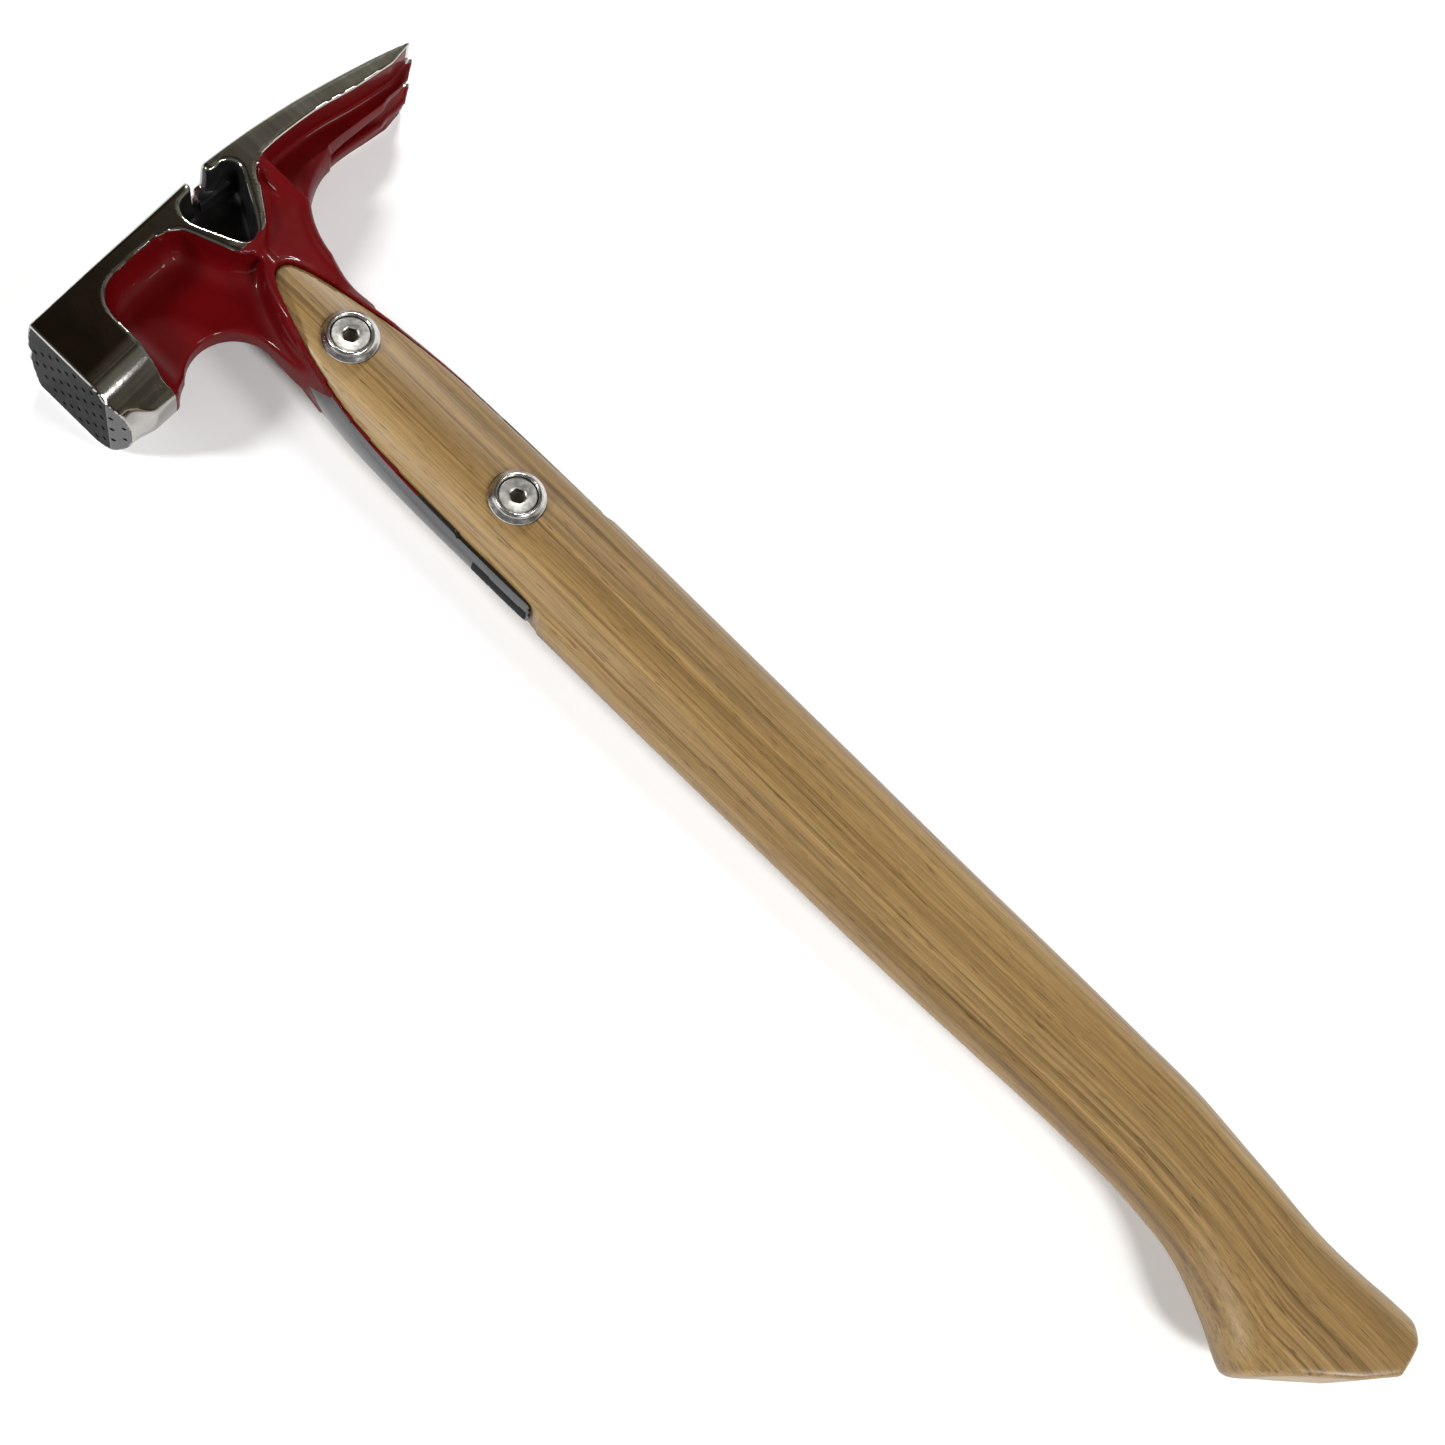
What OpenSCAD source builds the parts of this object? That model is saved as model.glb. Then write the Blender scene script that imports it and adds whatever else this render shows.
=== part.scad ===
// Framing hammer, 20 oz class, lying on its side.
// A cast steel head with milled face, rip claws and two long handle straps sits
// astride a hickory handle that is forked round the head's centre web. Two cross
// bolts with barrel nuts and cup washers clamp wood and web together.
// Millimetres. +X runs up the handle to the head, +Y points to the striking face,
// +Z is up. The origin is under the middle of the tool, on the surface it lies on.

/* [Overall] */
// Length from the butt of the handle to the top of the head
total_length = 447.5; // [440:0.5:455]
// Length of the head from striking face to claw tips
head_length = 138.5; // [136:0.5:142]
// Width of the head across its two flat sides
head_width = 34; // [32:1:38]

/* [Head] */
// Height of the head's top above the upper bolt
head_rise = 63; // [62:0.5:65]
// Distance of the striking face from the handle's axis
face_reach = 61.5; // [60:0.5:64]
// Height of the striking face
face_height = 36.5; // [35:0.5:38]
// Length of the solid poll block behind the face
poll_length = 18; // [15:0.5:22]
// Slope of the poll's top towards the face, in degrees
poll_slope = 5.9; // [4:0.1:8]
// Radius of the side-to-side crown on top of the poll
crown_radius = 65; // [50:1:100]
// Radius of the flatter side-to-side crown on top of the claws
claw_crown_radius = 200; // [120:10:240]
// Radius of the long curve along the top of the claws
claw_curve = 270; // [240:5:320]
// Thickness of the centre web between poll and handle
cheek_web = 6.5; // [5:0.5:9]
// Thickness of the wall behind the pocket, where the neck meets the claws
neck_width = 29; // [26:0.5:31]
// Radius of the curve under the claws
claw_throat = 30.5; // [28:0.5:33]

/* [Claws] */
// Width of the nail slot at the claw tips
slot_mouth = 9.2; // [8:0.2:11]
// Length of the nail slot
slot_length = 38; // [34:0.5:42]
// Radius at the root of the nail slot
slot_root = 1.2; // [0.8:0.1:1.6]

/* [Milled face] */
// Spacing of the milled pits along a diagonal row
pit_pitch = 4.6; // [4:0.1:6]
// Width of one milled pit
pit_width = 1.3; // [1:0.1:1.8]
// Depth of one milled pit
pit_depth = 0.8; // [0.4:0.1:1.2]

/* [Handle] */
// Width of the handle between its front and back edges
handle_width = 37; // [35:0.5:38]
// Thickness of the handle from side to side
handle_thickness = 25.4; // [25:0.2:28]
// Radius of the long curves that bring the wood to its pointed top
arch_radius = 172; // [165:1:180]
// Thickness of the steel web inside the fork
fork_web = 5; // [4:0.5:7]
// Gap between the wood and the steel round it
wood_gap = 0.15; // [0.1:0.05:0.3]

/* [Fasteners] */
// Distance between the two cross bolts
bolt_spacing = 63; // [60:0.5:66]
// Diameter of the bolt's thread
bolt_d = 6; // [5:0.5:6]
// Diameter of the barrel nut's sleeve
barrel_d = 8; // [7.5:0.5:9]
// Diameter of the cup washers
washer_d = 16; // [15:0.5:17]
// Diameter of the magnet in the nail groove
magnet_d = 6; // [5:0.5:7]

/* [Hidden] */
$fn = 96;

// The model is drawn round the upper bolt, on the tool's middle plane, and then moved.
half_width = head_width / 2;
claw_reach = head_length - face_reach;
butt_x = head_rise - total_length;
centre_x = (head_rise + butt_x) / 2;
centre_y = (face_reach - claw_reach) / 2;

claw_top_y = -12;
face_top = 56.9;
face_flat = face_height - 12;
heel_angle = 25;

half_wood = handle_width / 2;
half_thick = handle_thickness / 2;
arch_start = -45;
arch_tip = 27.5;
lens_r = 21.8;
lens_offset = lens_r - half_thick - 0.3;
strap_tip = -87;
back_strap_tip = -80;
web_end = -76;
washer_seat = half_thick - 0.5;
washer_h = 2.8;
bolt_head_top = washer_seat + 2.1;
lower_x = -bolt_spacing;

// ---- helpers ----

// Points of an arc from angle a to angle b
function arc(cx, cy, r, a, b, n = 12) =
  [for (i = [0:n]) [cx + r * cos(a + (b - a) * i / n), cy + r * sin(a + (b - a) * i / n)]];

function smooth(t) = let (u = min(1, max(0, t))) u * u * (3 - 2 * u);

// Unit vector from p to q
function towards(p, q) = (q - p) / norm(q - p);

// One corner of an outline, replaced by an arc of radius r
function corner(p, q, s, r, n = 6) =
  let (
    u = towards(q, p),
    v = towards(q, s),
    half = acos(u * v) / 2,
    middle = q + (u + v) / norm(u + v) * r / sin(half),
    first = q + u * r / tan(half) - middle,
    last = q + v * r / tan(half) - middle,
    a = atan2(first.y, first.x),
    turn = atan2(last.y, last.x) - a,
    sweep = turn > 180 ? turn - 360 : turn < -180 ? turn + 360 : turn
  )
  [for (i = [0:n]) middle + r * [cos(a + sweep * i / n), sin(a + sweep * i / n)]];

// Outline with every corner rounded; each entry is [x, y, radius]
function rounded(p) =
  [for (i = [0:len(p) - 1])
    let (
      a = p[(i + len(p) - 1) % len(p)],
      b = p[i],
      c = p[(i + 1) % len(p)]
    )
    each corner([a.x, a.y], [b.x, b.y], [c.x, c.y], b.z)];

module plate(thickness) {
  linear_extrude(thickness, center = true)
    children();
}

// ---- head ----

// Everything inside the crowned top of the poll and the bar behind it
module poll_crown() {
  translate([face_top, face_reach, 0])
    rotate([0, 0, poll_slope])
      rotate([90, 0, 0])
        linear_extrude(200, center = true)
          intersection() {
            translate([-crown_radius, 0])
              circle(crown_radius, $fn = 180);
            translate([-80, -half_width])
              square([90, head_width]);
          }
}

// Everything inside the crowned, curved top of the claws
module claw_crown() {
  translate([head_rise - claw_curve, claw_top_y, 0])
    rotate_extrude($fn = 360)
      intersection() {
        translate([claw_curve - claw_crown_radius, 0])
          circle(claw_crown_radius, $fn = 360);
        translate([claw_curve - 50, -half_width])
          square([60, head_width]);
      }
}

// Cross-section of the poll: flat sides, crowned top, rounded underside
module poll_section() {
  belly = (pow(half_width, 2) + pow(face_height - face_flat, 2)) / (2 * (face_height - face_flat));
  intersection() {
    union() {
      translate([-face_flat, -half_width])
        square([face_flat, head_width]);
      translate([belly - face_height, 0])
        circle(belly);
    }
    translate([-face_height, -half_width])
      square([face_height, head_width]);
  }
}

module poll() {
  intersection() {
    translate([face_top, face_reach, 0])
      rotate([0, 0, poll_slope])
        rotate([90, 0, 0])
          linear_extrude(100, center = true)
            poll_section();
    translate([0, face_reach - poll_length, -half_width])
      cube([80, poll_length, head_width]);
    poll_crown();
  }
}

// Metal taken off the lower edge of the face, which is bevelled
module heel_bevel() {
  translate([26.5, face_reach, 0])
    rotate([0, 0, 180 + heel_angle])
      translate([0, -10, -half_width - 1])
        cube([40, 10, head_width + 2]);
}

// Side outline of the bar along the top, from the poll back to the notch
module top_bar_outline() {
  polygon(concat(
    [[80, 55], [50, 55], [49, 43]],
    corner([49, 43], [52, 40], [53, 18], 3),
    [[53, 18], [50.4, 13.2], [44, 10], [56, -2], [61, 3]],
    corner([61, 3], [63.5, 0.6], [80, 1.5], 1),
    [[80, 1.5]]
  ));
}

// Side outline of the raised tower round the pocket
module tower_outline() {
  polygon(rounded([
    [66, 18, 4], [50, 14.5, 4], [31.5, 3, 4.5],
    [33.5, -5, 3], [50, -16, 3], [66, -12, 3]
  ]));
}

// Side outline of the pocket, with the notch that opens it to the top
module pocket_outline() {
  polygon(rounded([[58.2, 12, 3.2], [35, 1.5, 2.6], [59.5, -14, 3]]));
  polygon([[57, 6], [59.5, 3.4], [61, 2.6], [75, -2.4], [75, -4], [57, -4]]);
}

// Side outline of the thin web between poll, tower and handle
module cheek_outline() {
  polygon(concat(
    [[54, 50], [24, 50], [22.3, 42]],
    arc(14.6, 27.5, 13.4, 52, -88, 20),
    [[8, 12.6], [8, -2], [54, -2]]
  ));
}

// Side outline of the neck wall and the underside of the claws
module neck_outline() {
  difference() {
    polygon([
      [56, 5], [56, -60], [49.8, -60], [49.8, -42], [46, -35],
      [24, -14], [15, -9.2], [15, 7], [20, 8], [31, 4]
    ]);
    translate([17, -44])
      circle(claw_throat, $fn = 180);
  }
}

// Side outline of the claws; the tips are bevelled from below
module claw_outline() {
  polygon([
    [70, -10], [70, -claw_reach], [54, -claw_reach], [50.4, -71.8], [49.6, -66], [49.8, -44],
    [48, -38], [50, -30], [50, -10]
  ]);
}

// Metal taken off along the edges of the curve under the claws
module throat_round() {
  for (side = [0, 1])
    mirror([0, 0, side])
      translate([17, -44, 0])
        rotate_extrude($fn = 180)
          difference() {
            translate([claw_throat - 1, neck_width / 2 - 3])
              square([4, 4]);
            translate([claw_throat + 3, neck_width / 2 - 3])
              circle(3, $fn = 48);
          }
}

module claws() {
  intersection() {
    claw_crown();
    plate(head_width)
      claw_outline();
  }
}

// The nail slot, seen from above: a V with a round root
module claw_slot() {
  root_y = slot_length - claw_reach;
  rotate([90, 0, 90])
    linear_extrude(100)
      union() {
        polygon([
          [-claw_reach - 1, -slot_mouth / 2], [root_y - slot_root, -slot_root],
          [root_y - slot_root, slot_root], [-claw_reach - 1, slot_mouth / 2]
        ]);
        translate([root_y - slot_root, 0])
          circle(slot_root);
      }
}

// Block of metal that a nail's head rests against in the notch
module nail_stop() {
  intersection() {
    claw_crown();
    translate([56.5, -8, -7])
      cube([10, 6.7, 14]);
  }
}

// Square pits in diagonal rows, kept clear of the rim
module milled_pits() {
  step = pit_pitch / sqrt(2);
  centre = face_top - face_height / 2;
  for (i = [-6:6])
    for (j = [-6:6])
      if ((i + j) % 2 == 0 && norm([i * step, j * step]) < 16 && abs(j) * step < 14)
        translate([centre + i * step, face_reach, j * step])
          rotate([0, 45, 0])
            cube([pit_width, 2 * pit_depth, pit_width], center = true);
}

// Shallow groove that guides a nail along the top of the poll
module nail_groove() {
  translate([face_top, face_reach, 0])
    rotate([0, 0, poll_slope])
      translate([1.3, 0, 0])
        rotate([90, 0, 0])
          cylinder(r = 2.4, h = 160, center = true);
}

// Place of the magnet, square to the top of the poll
module at_magnet() {
  translate([face_top, face_reach, 0])
    rotate([0, 0, poll_slope])
      translate([-1.3, -47, 0])
        rotate([0, -90, 0])
          children();
}

// Steel outside the wood, seen from the side
module strap_outline() {
  polygon(concat(
    [[33, 4], [20, 14], [14, 13.2], [8, 12.6], [-3, 13.4], [-14, 15.3], [-26, 16.9], [-45, 18.1]],
    arc(strap_tip + 1.7, 16.7, 1.8, 90, 270, 8),
    [[-60, 15.5], [-60, -15.5]],
    arc(back_strap_tip + 1.2, -17.1, 1.2, 90, 270, 8),
    [[-45, -18.4], [-26, -18], [-12, -16.9], [0, -15.5], [10, -14.2], [20, -13.5], [33, -8]]
  ));
}

// The wood's pointed top, seen from the side; grow widens it all round
module wood_arch(grow) {
  polygon(concat(
    [[butt_x - 20, 60], [-200, 60], [-200, 19 + grow]],
    [[strap_tip - 4, 19 + grow], [strap_tip - 1, 16.4 + grow]],
    [for (i = [0:16])
      let (x = arch_start + (arch_tip - 4 - arch_start) * i / 16)
      [x, 16.4 + grow - pow(x - arch_start, 2) / (2 * arch_radius) * 0.86]],
    arc(arch_tip - 4, 0, 4 + grow, 50, -50, 8),
    [for (i = [16:-1:0])
      let (x = arch_start + (arch_tip - 4 - arch_start) * i / 16)
      [x, -17 - grow + pow(x - arch_start, 2) / (2 * arch_radius) * 0.92]],
    [[back_strap_tip - 1, -17 - grow], [back_strap_tip - 4, -19 - grow]],
    [[-200, -19 - grow], [-200, -60], [butt_x - 20, -60]]
  ));
}

// Straps along the front and back of the wood, rounded to the handle's section
module straps() {
  intersection() {
    plate(2 * half_thick + 3)
      difference() {
        strap_outline();
        wood_arch(0);
      }
    translate([-100, 0, -lens_offset])
      rotate([0, 90, 0])
        cylinder(r = lens_r, h = 140, $fn = 180);
    translate([-100, 0, lens_offset])
      rotate([0, 90, 0])
        cylinder(r = lens_r, h = 140, $fn = 180);
  }
}

// Web that stands in the handle's fork, with holes for the barrel nuts
module fork_plate() {
  difference() {
    plate(fork_web)
      difference() {
        polygon([
          [30, 6], [10, 11], [-26, 16.6], [web_end, 16.6],
          [web_end, -17.2], [-26, -17.2], [10, -12], [30, -8]
        ]);
        polygon(rounded([[-18, 9, 4], [-18, -9, 4], [lower_x + 18, -9, 4], [lower_x + 18, 9, 4]]));
      }
    for (x = [0, lower_x])
      translate([x, 0, 0])
        cylinder(d = barrel_d + 0.2, h = 20, center = true);
  }
}

module head() {
  color("firebrick")
    difference() {
      union() {
        poll();
        intersection() {
          poll_crown();
          plate(head_width)
            difference() {
              top_bar_outline();
              pocket_outline();
            }
        }
        intersection() {
          union() {
            poll_crown();
            claw_crown();
          }
          plate(head_width)
            difference() {
              tower_outline();
              pocket_outline();
            }
        }
        intersection() {
          union() {
            poll_crown();
            claw_crown();
          }
          plate(cheek_web)
            tower_outline();
        }
        plate(cheek_web)
          cheek_outline();
        difference() {
          plate(neck_width)
            difference() {
              neck_outline();
              pocket_outline();
              wood_arch(0);
            }
          throat_round();
        }
        claws();
        nail_stop();
        straps();
        fork_plate();
      }
      heel_bevel();
      claw_slot();
      milled_pits();
      nail_groove();
      at_magnet()
        cylinder(d = magnet_d, h = 6);
    }
}

// ---- handle ----

// Front and back edges of the wood at a distance x up the handle
function slim(x) = smooth((-150 - x) / 120) - smooth((-300 - x) / 30);
function front_edge(x) =
  half_wood - 1.5 * slim(x) + 0.0062 * pow(min(x + 300, 0), 2) - 1.2 * smooth((-300 - x) / 20);
function back_edge(x) = -half_wood + 1.2 * slim(x) + 7.2 * smooth((-290 - x) / 66);

// One ring of the handle's oval section
function ring(x, sides) =
  let (
    front = front_edge(x),
    back = back_edge(x),
    thick = half_thick + 0.9 * smooth((-320 - x) / 50)
  )
  [for (i = [0:sides - 1])
    let (a = 360 * i / sides)
    [x, (front + back) / 2 + (front - back) / 2 * cos(a), thick * sin(a)]];

// Blank of the handle, before its ends and its fork are cut
module handle_blank() {
  sides = 32;
  stations = concat([for (x = [40:-20:-280]) x], [for (x = [-290:-8:-394]) x], [butt_x - 8]);
  last = len(stations) - 1;
  polyhedron(
    points = [for (x = stations) each ring(x, sides)],
    faces = concat(
      [[for (i = [0:sides - 1]) i]],
      [for (s = [0:last - 1])
        for (i = [0:sides - 1])
          let (j = (i + 1) % sides)
          each [
            [s * sides + i, (s + 1) * sides + i, (s + 1) * sides + j],
            [s * sides + i, (s + 1) * sides + j, s * sides + j]
          ]],
      [[for (i = [sides - 1:-1:0]) last * sides + i]]
    )
  );
}

// Side outline of the butt: a slanted end cut with rounded toe and heel
module butt_outline() {
  polygon(rounded([
    [60, 60, 1], [-326, 60, 1], [-351.5, 35.5, 3], [butt_x + 0.3, 5, 2.5],
    [butt_x, -6, 4], [butt_x + 3, -16, 3], [butt_x + 10, -30, 1], [60, -30, 1]
  ]));
}

module handle() {
  color("burlywood")
    difference() {
      intersection() {
        handle_blank();
        plate(60)
          intersection() {
            wood_arch(-wood_gap);
            butt_outline();
          }
      }
      translate([web_end - 1, -30, -fork_web / 2 - wood_gap])
        cube([200, 60, fork_web + 2 * wood_gap]);
      for (x = [0, lower_x])
        translate([x, 0, 0]) {
          cylinder(d = barrel_d + 0.1, h = 60, center = true);
          for (side = [0, 1])
            mirror([0, 0, side])
              translate([0, 0, washer_seat])
                cylinder(d = washer_d + 0.4, h = 10);
        }
    }
}

// ---- fasteners ----

// Flat head with a cone under it and a hexagon socket, top face at height 0
module socket_head(shank_r) {
  difference() {
    rotate_extrude()
      polygon([
        [0, -3.4], [shank_r, -3.4], [shank_r, -3.2], [4.9, -1.7], [5.2, -1.5], [5.2, -0.2], [5, 0],
        [2.6, -0.3], [0, -0.3]
      ]);
    translate([0, 0, -2.4])
      cylinder(d = 4 / cos(30), h = 3, $fn = 6);
  }
}

module bolt() {
  color("silver")
    union() {
      translate([0, 0, bolt_head_top])
        socket_head(bolt_d / 2);
      translate([0, 0, -6])
        cylinder(d = bolt_d, h = bolt_head_top - 3.3 + 6);
    }
}

module barrel_nut() {
  color("silver")
    mirror([0, 0, 1])
      difference() {
        union() {
          translate([0, 0, bolt_head_top])
            socket_head(barrel_d / 2);
          translate([0, 0, -8])
            cylinder(d = barrel_d, h = bolt_head_top - 3.3 + 8);
        }
        translate([0, 0, -9])
          cylinder(d = bolt_d + 0.1, h = 16);
      }
}

// Domed cup washer on the wood's upper seat, round the bolt's head
module cup_washer() {
  color("gainsboro")
    translate([0, 0, washer_seat])
      rotate_extrude()
        polygon([
          [barrel_d / 2 + 0.1, 0], [washer_d / 2, 0], [washer_d / 2, 0.5], [7.4, 1.4],
          [6.6, 2.2], [6.1, washer_h], [5.7, washer_h], [5.4, 2.3],
          [5.4, 0.5], [4.9, 0.35], [barrel_d / 2 + 0.1, 0.1]
        ]);
}

// Magnet under the nail groove
module nail_magnet() {
  color("dimgray")
    at_magnet()
      cylinder(d = magnet_d - 0.1, h = 5.5);
}

// ---- placing ----

module placed() {
  translate([-centre_x, -centre_y, half_width])
    children();
}

// Moves a fastener from the upper bolt to the lower one
module lower() {
  translate([lower_x, 0, 0])
    children();
}

// Turns a fastener over to the tool's other side
module far_side() {
  mirror([0, 0, 1])
    children();
}

placed() head();
placed() handle();
placed() bolt();  // upper_bolt
placed() lower() bolt();  // lower_bolt
placed() barrel_nut();  // upper_barrel_nut
placed() lower() barrel_nut();  // lower_barrel_nut
placed() cup_washer();  // upper_bolt_washer
placed() lower() cup_washer();  // lower_bolt_washer
placed() far_side() cup_washer();  // upper_nut_washer
placed() lower() far_side() cup_washer();  // lower_nut_washer
placed() nail_magnet();
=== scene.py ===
import math

import bpy
import bmesh
import numpy as np
from mathutils import Matrix, Vector


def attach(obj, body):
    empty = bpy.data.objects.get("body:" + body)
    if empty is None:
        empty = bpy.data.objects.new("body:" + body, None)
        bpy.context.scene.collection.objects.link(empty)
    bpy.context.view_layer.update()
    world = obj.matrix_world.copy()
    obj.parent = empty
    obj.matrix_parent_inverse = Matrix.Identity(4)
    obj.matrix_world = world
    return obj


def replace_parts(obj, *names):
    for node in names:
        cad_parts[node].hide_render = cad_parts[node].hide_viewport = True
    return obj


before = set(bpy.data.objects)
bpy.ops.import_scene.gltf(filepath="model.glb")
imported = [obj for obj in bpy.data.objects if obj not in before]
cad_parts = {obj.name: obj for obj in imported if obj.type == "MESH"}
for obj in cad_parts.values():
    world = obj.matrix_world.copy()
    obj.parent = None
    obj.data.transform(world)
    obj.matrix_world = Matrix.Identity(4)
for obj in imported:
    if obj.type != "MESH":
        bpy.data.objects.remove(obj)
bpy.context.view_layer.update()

MM = 0.001

# The shapes are drawn in millimetres round the upper bolt, on the hammer's middle plane:
# x runs up the handle, y towards the striking face. placed() moves them into the part's frame.
HEAD_RISE = 63.0      # top of the head
BUTT_X = -384.5       # end of the handle
FACE_REACH = 61.5     # striking face
CLAW_REACH = 77.0     # claw tips
HALF_WIDTH = 17.0     # side flats of the head
CENTRE = np.array([(HEAD_RISE + BUTT_X) / 2, (FACE_REACH - CLAW_REACH) / 2, -HALF_WIDTH])
BOLTS = (("upper", 0.0), ("lower", -63.0))


def placed(points):
    return (np.asarray(points, dtype=float) - CENTRE) * MM


# ---------------------------------------------------------------- distance fields

def smooth(t):
    t = np.clip(t, 0.0, 1.0)
    return t * t * (3 - 2 * t)


def join(a, b, k):
    """Union of two fields with a fillet about k wide."""
    h = np.maximum(k - np.abs(a - b), 0.0) / k
    return np.minimum(a, b) - h * h * k / 4


def meet(a, b, k):
    """Intersection of two fields with a rounded edge about k wide."""
    return -join(-a, -b, k)


def outline(x, y, points):
    """Signed distance to a closed outline, negative inside."""
    points = np.asarray(points, dtype=float)
    best = np.full(np.broadcast(x, y).shape, 1e9)
    inside = np.zeros(best.shape, dtype=bool)
    for a, b in zip(points, np.roll(points, -1, axis=0)):
        e = b - a
        t = np.clip(((x - a[0]) * e[0] + (y - a[1]) * e[1]) / max(e @ e, 1e-12), 0, 1)
        best = np.minimum(best, (x - a[0] - t * e[0]) ** 2 + (y - a[1] - t * e[1]) ** 2)
        if a[1] != b[1]:
            crosses = ((a[1] > y) != (b[1] > y)) & (x < e[0] * (y - a[1]) / e[1] + a[0])
            inside ^= crosses
    return np.where(inside, -1.0, 1.0) * np.sqrt(best)


def curve(points, steps):
    """Smooth open line through the given points."""
    p = np.asarray(points, dtype=float)
    ends = np.concatenate([[2 * p[0] - p[1]], p, [2 * p[-1] - p[-2]]])
    out = []
    for p0, p1, p2, p3 in zip(ends, ends[1:], ends[2:], ends[3:]):
        for t in np.arange(steps) / steps:
            out.append(0.5 * (2 * p1 + (p2 - p0) * t + (2 * p0 - 5 * p1 + 4 * p2 - p3) * t * t
                              + (3 * p1 - p0 - 3 * p2 + p3) * t ** 3))
    out.append(p[-1])
    return np.array(out)


def arc(cx, cy, r, a, b, n):
    t = np.radians(np.linspace(a, b, n + 1))
    return np.stack([cx + r * np.cos(t), cy + r * np.sin(t)], axis=1)


def surface(field, xs, ys, zs):
    """Mesh of the field's zero level: one vertex in each cell that the surface passes through."""
    values = field(xs[:, None, None], ys[None, :, None], zs[None, None, :])
    values = np.where(values == 0, 1e-9, values)
    inside = values < 0
    shape = tuple(n - 1 for n in values.shape)
    total = np.zeros(shape + (3,))
    count = np.zeros(shape)
    axes = (xs, ys, zs)
    for axis in range(3):
        lo = [slice(None)] * 3
        hi = [slice(None)] * 3
        lo[axis] = slice(0, -1)
        hi[axis] = slice(1, None)
        a = values[tuple(lo)]
        b = values[tuple(hi)]
        crossing = inside[tuple(lo)] != inside[tuple(hi)]
        t = np.where(crossing, a / np.where(crossing, a - b, 1.0), 0.0)
        place = []
        for other in range(3):
            form = [1, 1, 1]
            form[other] = -1
            if other == axis:
                low = axes[other][:-1].reshape(form)
                step = np.diff(axes[other]).reshape(form)
                place.append(low + t * step)
            else:
                place.append(np.broadcast_to(axes[other].reshape(form), a.shape))
        first, second = [o for o in range(3) if o != axis]
        for da in (0, 1):
            for db in (0, 1):
                part = [slice(None)] * 3
                part[first] = slice(da, da + shape[first])
                part[second] = slice(db, db + shape[second])
                part = tuple(part)
                hit = crossing[part]
                count += hit
                for other in range(3):
                    total[..., other] += np.where(hit, place[other][part], 0.0)
    active = count > 0
    index = np.full(shape, -1, dtype=np.int64)
    index[active] = np.arange(active.sum())
    points = total[active] / count[active][:, None]
    quads = []
    for axis in range(3):
        first, second = (axis + 1) % 3, (axis + 2) % 3
        lo = [slice(None)] * 3
        hi = [slice(None)] * 3
        lo[axis] = slice(0, -1)
        hi[axis] = slice(1, None)
        for s in (lo, hi):
            s[first] = slice(1, -1)
            s[second] = slice(1, -1)
        a = inside[tuple(lo)]
        b = inside[tuple(hi)]
        spot = np.argwhere(a != b)
        out = a[tuple(spot.T)]
        corners = []
        for da, db in ((0, 0), (1, 0), (1, 1), (0, 1)):
            cell = spot.copy()
            cell[:, first] += da
            cell[:, second] += db
            corners.append(index[tuple(cell.T)])
        quad = np.stack(corners, axis=1)
        quads.append(np.where(out[:, None], quad, quad[:, ::-1]))
    quads = np.concatenate(quads)
    # the vertices are drawn onto the surface along the field's slope
    h = 0.02
    for _ in range(3):
        x, y, z = points.T
        value = field(x, y, z)
        slope = np.stack([field(x + h, y, z) - value,
                          field(x, y + h, z) - value,
                          field(x, y, z + h) - value], axis=1) / h
        size = np.maximum((slope ** 2).sum(axis=1), 0.2)
        move = -value[:, None] * slope / size[:, None]
        points = points + np.clip(move, -0.25, 0.25)
    return points, quads


def add_mesh(name, points, faces, materials):
    mesh = bpy.data.meshes.new(name)
    mesh.from_pydata([tuple(p) for p in points], [], [tuple(int(i) for i in f) for f in faces])
    mesh.validate()
    mesh.update()
    piece = bpy.data.objects.new(name, mesh)
    bpy.context.scene.collection.objects.link(piece)
    set_materials(mesh, materials)
    shade_smooth(mesh)
    return piece


def set_materials(mesh, materials):
    mesh.materials.clear()
    for material in materials:
        mesh.materials.append(material)


def shade_smooth(mesh):
    mesh.polygons.foreach_set("use_smooth", [True] * len(mesh.polygons))


def face_vectors(mesh, what):
    """Centre or normal of every face."""
    values = np.empty(len(mesh.polygons) * 3)
    mesh.polygons.foreach_get(what, values)
    return values.reshape(-1, 3)


def store_grain(mesh, grain):
    """Keeps a place for every vertex, which the wood and turned materials read."""
    store = mesh.attributes.new("grain", "FLOAT_VECTOR", "POINT")
    store.data.foreach_set("vector", grain.ravel())


# ---------------------------------------------------------------- head, as a field

SLOPE = math.radians(5.9)         # rise of the poll's top line from the face to the notch
FACE_TOP = 56.9                   # top of the striking face
POLL_CROWN = 65.0                 # radius of the poll's top, from side to side
CLAW_X, CLAW_Y = -207.0, -12.0    # centre of the claws' arc
CLAW_CROWN = 200.0                # radius of the claws' back, from side to side
FACET_RADIUS = 20.0               # crown of the poll's lower facets
HEEL_X = 26.5                     # the face's lower edge leans back from here down
HEEL_TILT = math.radians(25)
PIT_CENTRE = 38.0
PIT_STEP = 4.45 / math.sqrt(2)
PIT_SIZE = 1.1
THROAT_X, THROAT_Y, THROAT_RADIUS = 17.0, -44.0, 30.5
GRIP_RADIUS = 21.8                # each side of the grip's oval is part of a circle,
GRIP_OFFSET = 8.6                 # whose centre lies this far past the middle plane
CHEEK_HALF = 3.25                 # half the cheek's thickness
POCKET_HALF = 3.6                 # half the wall between the pockets
SLOT_LENGTH = 38.0
SLOT_HALF = 1.2
SLOT_GROWTH = 3.4
GROOVE_RISE, GROOVE_RADIUS = 1.3, 2.4
PLATE_HALF = 2.5                  # half the web inside the handle's fork

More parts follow.
